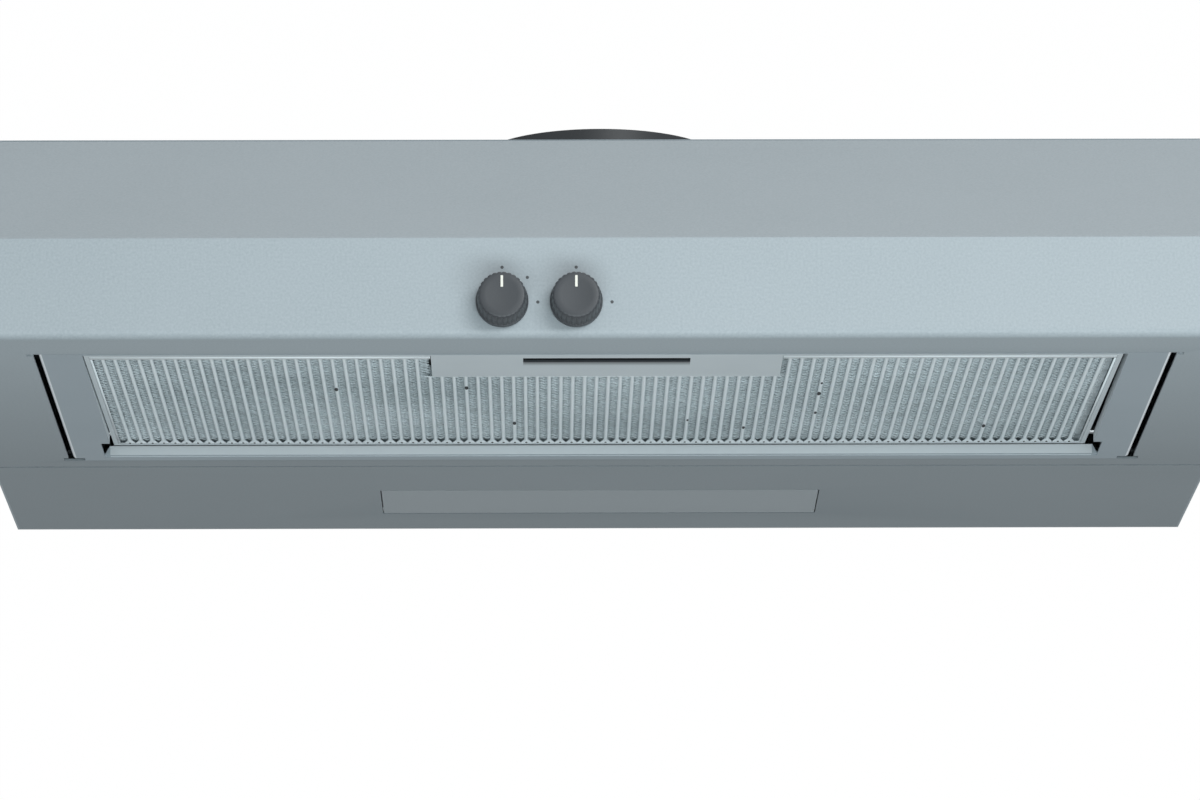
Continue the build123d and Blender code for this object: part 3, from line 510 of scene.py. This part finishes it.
def add_strand(vertices, faces, x, depth, end_x, lift):
    """Adds one strand of the mesh: a flat tube that bows upwards between two points of a diamond."""
    start = len(vertices)
    for place, bend in ((0.0, 0.0), (0.5, 0.35), (1.0, 0.0)):
        at_x = x + (end_x - x) * place
        at_depth = depth + CELL_DEPTH * place
        for side, top in ((-1, 0), (1, 0), (1, 1), (-1, 1)):
            vertices.append(cassette(at_x + side * STRAND / 2, at_depth, lift + bend + top * STRAND))
    for ring in (start, start + 4):
        for i in range(4):
            j = (i + 1) % 4
            faces.append((ring + i, ring + j, ring + 4 + j, ring + 4 + i))


def expanded_layer(lift, shift, seed):
    """One layer of expanded aluminium: bent flat strands that meet in diamonds."""
    chance = random.Random(seed)
    vertices, faces = [], []
    left, right = -SHEET_HALF, SHEET_HALF
    front, back = SHEET_FRONT + 1, SHEET_BACK - 1
    columns = int((right - left) / CELL_X)
    rows = int((back - front) / CELL_DEPTH)
    for row in range(rows):
        for column in range(columns):
            x = left + (column + 0.5 * (row % 2) + shift) * CELL_X
            depth = front + (row + shift) * CELL_DEPTH
            if x + CELL_X > right or depth + CELL_DEPTH > back:
                continue
            if TAB_LEFT - 3 < x < TAB_RIGHT + 1 and depth < TAB_DEPTH + 1:
                continue
            sag = chance.uniform(-0.15, 0.15)
            for way in (-1, 1):
                add_strand(vertices, faces, x, depth, x + way * CELL_X / 2, lift + sag)
    return vertices, faces


def back_layers():
    """The crumpled sheet that stands for the layers behind the first two; a modifier thickens it."""
    chance = random.Random(7)
    vertices, faces = [], []
    columns, rows = 157, 75
    places = []
    for row in range(rows):
        for column in range(columns):
            x = -SHEET_HALF + 2 * SHEET_HALF * column / (columns - 1)
            depth = SHEET_FRONT + 1 + (SHEET_BACK - SHEET_FRONT - 2) * row / (rows - 1)
            places.append((x, depth))
            vertices.append(cassette(x, depth, BACK_LOW + chance.uniform(0, 0.8)))
    for start in range((rows - 1) * columns):
        x, depth = places[start]
        last_column = start % columns == columns - 1
        behind_tab = TAB_LEFT - 4 < x < TAB_RIGHT + 2 and depth < TAB_DEPTH + 2
        if not (last_column or behind_tab):
            faces.append((start, start + 1, start + columns + 1, start + columns))
    return vertices, faces


def thicken(sheet, thickness):
    """Gives a sheet its thickness, in millimetres, on its upper side."""
    modifier = sheet.modifiers.new("thickness", "SOLIDIFY")
    modifier.thickness = thickness * MM
    modifier.offset = 1.0


def build_cassette():
    """Replaces the plain grille and mesh slab of the CAD model with their real detail."""
    grille = piece("grille_ribs", ribbed_sheet(), GRILLE, "filter")
    thicken(grille, SHEET_THICKNESS)
    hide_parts("filter_grille")
    # Painted shade: dark discs stand for the shade in the small holes at the rear of the ribs.
    hole_shade = piece("grille_hole_shade_discs", hole_shade_discs(), DARK, "filter", smooth=False)
    layers = (
        ("mesh_layer_front", expanded_layer(1.45, 0.0, 11), None),
        ("mesh_layer_middle", expanded_layer(2.3, 0.4, 12), None),
        ("mesh_layer_back", back_layers(), BACK_THICKNESS),
    )
    for name, mesh_data, thickness in layers:
        layer = piece(name, mesh_data, MESH_METAL, "filter", smooth=False)
        if thickness:
            thicken(layer, thickness)
        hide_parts("filter_mesh")


build_cassette()

FINGER_HALF, FINGER_BACK = 38.2, 16.2
# Length of the painted shade behind the finger slot, in millimetres.
SLOT_SHADE_LENGTH = 9.0
SPECK_COUNT = 9
TAB = surface(
    "tab_aluminium", (0.52, 0.57, 0.59), (0.60, 0.65, 0.67), 0.1, 0.42, 500.0, stretch=(0.4, 6, 1),
)
slot_edge = cassette(0, FINGER_BACK, 0).y
# Painted shade: a dark band on the tab behind the finger slot, where the slot's shade falls.
paint_shade_behind(
    TAB, (TAB_LOW.x + TAB_HIGH.x) / 2, FINGER_HALF * MM, slot_edge, slot_edge + SLOT_SHADE_LENGTH * MM,
    (0.03, 0.035, 0.04),
)
nodes["handle_tab"].data.materials[0] = TAB


def grease_specks():
    """A few tiny dark specks of grease dried on the ribs."""
    chance = random.Random(3)
    vertices, faces = [], []
    for _ in range(SPECK_COUNT):
        x = rib_middle(chance.randrange(SLOT_COUNT - 1)) + chance.uniform(-0.3, 0.3)
        depth = chance.uniform(TAB_DEPTH + 8, SLOT_BACK - 8)
        size = chance.uniform(0.5, 0.9)
        add_oval(vertices, faces, (x, depth), (size, size * 4.5), (-0.06, 0.1))
    return vertices, faces


specks = piece("grease_specks", grease_specks(), DARK, "filter", smooth=False)


# ------------------------------------------------------------------ knobs

KNOB_BACK = 1.0
FLUTE_COUNT = 28
FLUTE_DEPTH = 0.55
POINTER_HALF = 0.55
DOT_RADIUS = 0.75
DOT_AWAY = 4.2
MARK = surface("printed_ink", (0.05, 0.055, 0.06), (0.07, 0.075, 0.08), 0.0, 0.5, 900.0)


def around(middle, radius, turn, ahead):
    """A point some millimetres ahead of the front face, at a turn clockwise from the top as seen there."""
    x = middle.x + radius * MM * math.sin(turn)
    z = middle.z + radius * MM * math.cos(turn)
    return Vector((x, PAN_LOW.y - ahead * MM, z))


def knob_mesh(middle, rim, length):
    """A skirted knob with a fluted grip, closed at both ends."""
    profile = (
        (KNOB_BACK, 0.55, 0), (KNOB_BACK, 1.0, 0), (2.8, 1.0, 0), (3.3, 0.985, 0),
        (3.5, 0.955, 0), (3.9, 0.945, 1), (length * 0.6, 0.93, 1), (length - 1.6, 0.915, 1),
        (length - 0.6, 0.89, 0.6), (length - 0.15, 0.85, 0), (length, 0.79, 0),
        (length - 0.1, 0.6, 0), (length - 0.25, 0.3, 0),
    )
    around_count = FLUTE_COUNT * 6
    vertices, faces = [], []
    for ahead, share, fluted in profile:
        for i in range(around_count):
            turn = 2 * math.pi * i / around_count
            groove = max(0.0, math.cos(turn * FLUTE_COUNT)) ** 1.5
            vertices.append(around(middle, rim * share - FLUTE_DEPTH * fluted * groove, turn, ahead))
    for ring in range(len(profile) - 1):
        for i in range(around_count):
            j = (i + 1) % around_count
            a, b = ring * around_count, (ring + 1) * around_count
            faces.append((a + i, a + j, b + j, b + i))
    for ring, ahead in ((0, KNOB_BACK), (len(profile) - 1, length - 0.3)):
        vertices.append(around(middle, 0, 0, ahead))
        centre = len(vertices) - 1
        for i in range(around_count):
            j = (i + 1) % around_count
            pair = (ring * around_count + j, ring * around_count + i)
            faces.append((centre, *pair) if ring == 0 else (centre, pair[1], pair[0]))
    return vertices, faces


def bar_mesh(corners, height):
    """A flat closed bar: four corners on a face, and the same four standing proud of it along -Y."""
    vertices = list(corners) + [corner - Vector((0, height * MM, 0)) for corner in corners]
    faces = [(3, 2, 1, 0), (4, 5, 6, 7)] + [(i, (i + 1) % 4, 4 + (i + 1) % 4, 4 + i) for i in range(4)]
    return vertices, faces


def disc_mesh(middles, radius, ahead, height, points=20):
    """Flat printed dots, each a thin closed disc."""
    vertices, faces = [], []
    for middle in middles:
        start = len(vertices)
        for level in (ahead, ahead + height):
            vertices += [around(middle, radius, 2 * math.pi * i / points, level) for i in range(points)]
        faces += disc_faces(start, points)
    return vertices, faces


def build_knob(name, node, body, stops):
    """A detailed knob with its pointer line, and the printed dots it points to."""
    low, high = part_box(node)
    middle = (low + high) / 2
    rim = (high.x - low.x) / 2 / MM
    length = (PAN_LOW.y - low.y) / MM - 0.6
    knob = piece(f"{name}_fluted", knob_mesh(middle, rim, length), KNOB, body)
    knob.data.set_sharp_from_angle(angle=math.radians(40))
    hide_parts(node)
    line_low, line_high = rim * 0.3, rim * 0.74
    outline = (
        (-POINTER_HALF, line_low), (POINTER_HALF, line_low),
        (POINTER_HALF, line_high), (-POINTER_HALF, line_high),
    )
    corners = [around(middle, math.hypot(x, r), math.atan2(x, r), length - 0.35) for x, r in outline]
    pointer = piece(f"{name}_pointer", bar_mesh(corners, 0.5), IVORY, body, smooth=False)
    dots = [around(middle, rim + DOT_AWAY, math.radians(stop), 0) for stop in stops]
    marks = piece(f"{name}_marks", disc_mesh(dots, DOT_RADIUS, 0.0, 0.05), MARK, "casing", smooth=False)


build_knob("fan_speed_knob", "fan_speed_knob", "fan_knob", (0, 45, 90))
build_knob("light_knob", "light_knob", "lamp_knob", (0, 90))


# ------------------------------------------------------------------ studio

CAMERA_PLACE = (-0.0288, -3.2210, -0.7855)
CAMERA_ANGLES = (0.508, 12.107, -0.2225)
CAMERA_LENS = 199.8
ROOM_COLOUR = (0.90, 0.965, 1.0)
ROOM_STRENGTH = 0.47
CARD_STRENGTH = 0.98


def area_light(name, place, target, size, power, colour=(1, 1, 1)):
    """A soft rectangular light at place that faces target."""
    data = bpy.data.lights.new(name, "AREA")
    data.shape = "RECTANGLE"
    data.size, data.size_y = size
    data.energy = power
    data.color = colour
    light = bpy.data.objects.new(name, data)
    light.location = place
    light.rotation_mode = "QUATERNION"
    light.rotation_quaternion = (Vector(target) - Vector(place)).to_track_quat("-Z", "Y")
    scene.collection.objects.link(light)


def flat_stage(name, corners):
    """A flat piece of the studio that isn't part of the object."""
    mesh = bpy.data.meshes.new(name)
    mesh.from_pydata(corners, [], [(0, 1, 2, 3)])
    made = bpy.data.objects.new(name, mesh)
    scene.collection.objects.link(made)
    return made


def studio():
    """Pale room light, three soft area lights, a pale floor far below and a white card far behind."""
    scene.view_settings.view_transform = "Standard"
    world = bpy.data.worlds.new("studio")
    world.use_nodes = True
    background = world.node_tree.nodes["Background"]
    background.inputs["Color"].default_value = (*ROOM_COLOUR, 1.0)
    background.inputs["Strength"].default_value = ROOM_STRENGTH
    scene.world = world
    area_light("key", (0.15, -1.15, -0.72), (0, -0.22, -0.12), (1.3, 0.35), 8.0, (0.87, 0.97, 1.0))
    area_light("front", (0.9, -2.4, 0.5), (0, -0.3, -0.08), (1.2, 0.8), 24.0, (0.94, 0.98, 1.0))
    area_light("top", (0.3, -0.4, 2.2), (0, 0, 0), (2.5, 2.5), 22.0)

    floor_half, floor_z = 14.0, -6.0
    floor = flat_stage("floor", [
        (-floor_half, -floor_half, floor_z), (floor_half, -floor_half, floor_z),
        (floor_half, floor_half, floor_z), (-floor_half, floor_half, floor_z),
    ])
    floor_material, _, _, floor_shader = new_material("floor")
    floor_shader.inputs["Base Color"].default_value = (0.8, 0.8, 0.8, 1.0)
    floor_shader.inputs["Roughness"].default_value = 0.9
    floor.data.materials.append(floor_material)

    card_half, card_y, card_low, card_high = 3.0, 9.0, -0.5, 4.0
    card = flat_stage("card", [
        (-card_half, card_y, card_low), (card_half, card_y, card_low),
        (card_half, card_y, card_high), (-card_half, card_y, card_high),
    ])
    card_material, _, _, card_shader = new_material("card")
    card_shader.inputs["Base Color"].default_value = (0.0, 0.0, 0.0, 1.0)
    card_shader.inputs["Emission Color"].default_value = (1.0, 1.0, 1.0, 1.0)
    card_shader.inputs["Emission Strength"].default_value = CARD_STRENGTH
    card.data.materials.append(card_material)


def camera():
    """A long lens in front of the hood and below it, looking up at the underside."""
    place = Vector(CAMERA_PLACE)
    yaw, pitch, roll = (math.radians(angle) for angle in CAMERA_ANGLES)
    forward = Vector((math.sin(yaw) * math.cos(pitch), math.cos(yaw) * math.cos(pitch), math.sin(pitch)))
    data = bpy.data.cameras.new("camera")
    data.lens = CAMERA_LENS
    data.sensor_width = 36.0
    data.clip_start, data.clip_end = 0.1, 60.0
    view = bpy.data.objects.new("camera", data)
    turn = forward.to_track_quat("-Z", "Y").to_matrix().to_4x4()
    view.matrix_world = Matrix.Translation(place) @ turn @ Matrix.Rotation(roll, 4, "Z")
    scene.collection.objects.link(view)
    scene.camera = view


studio()
camera()
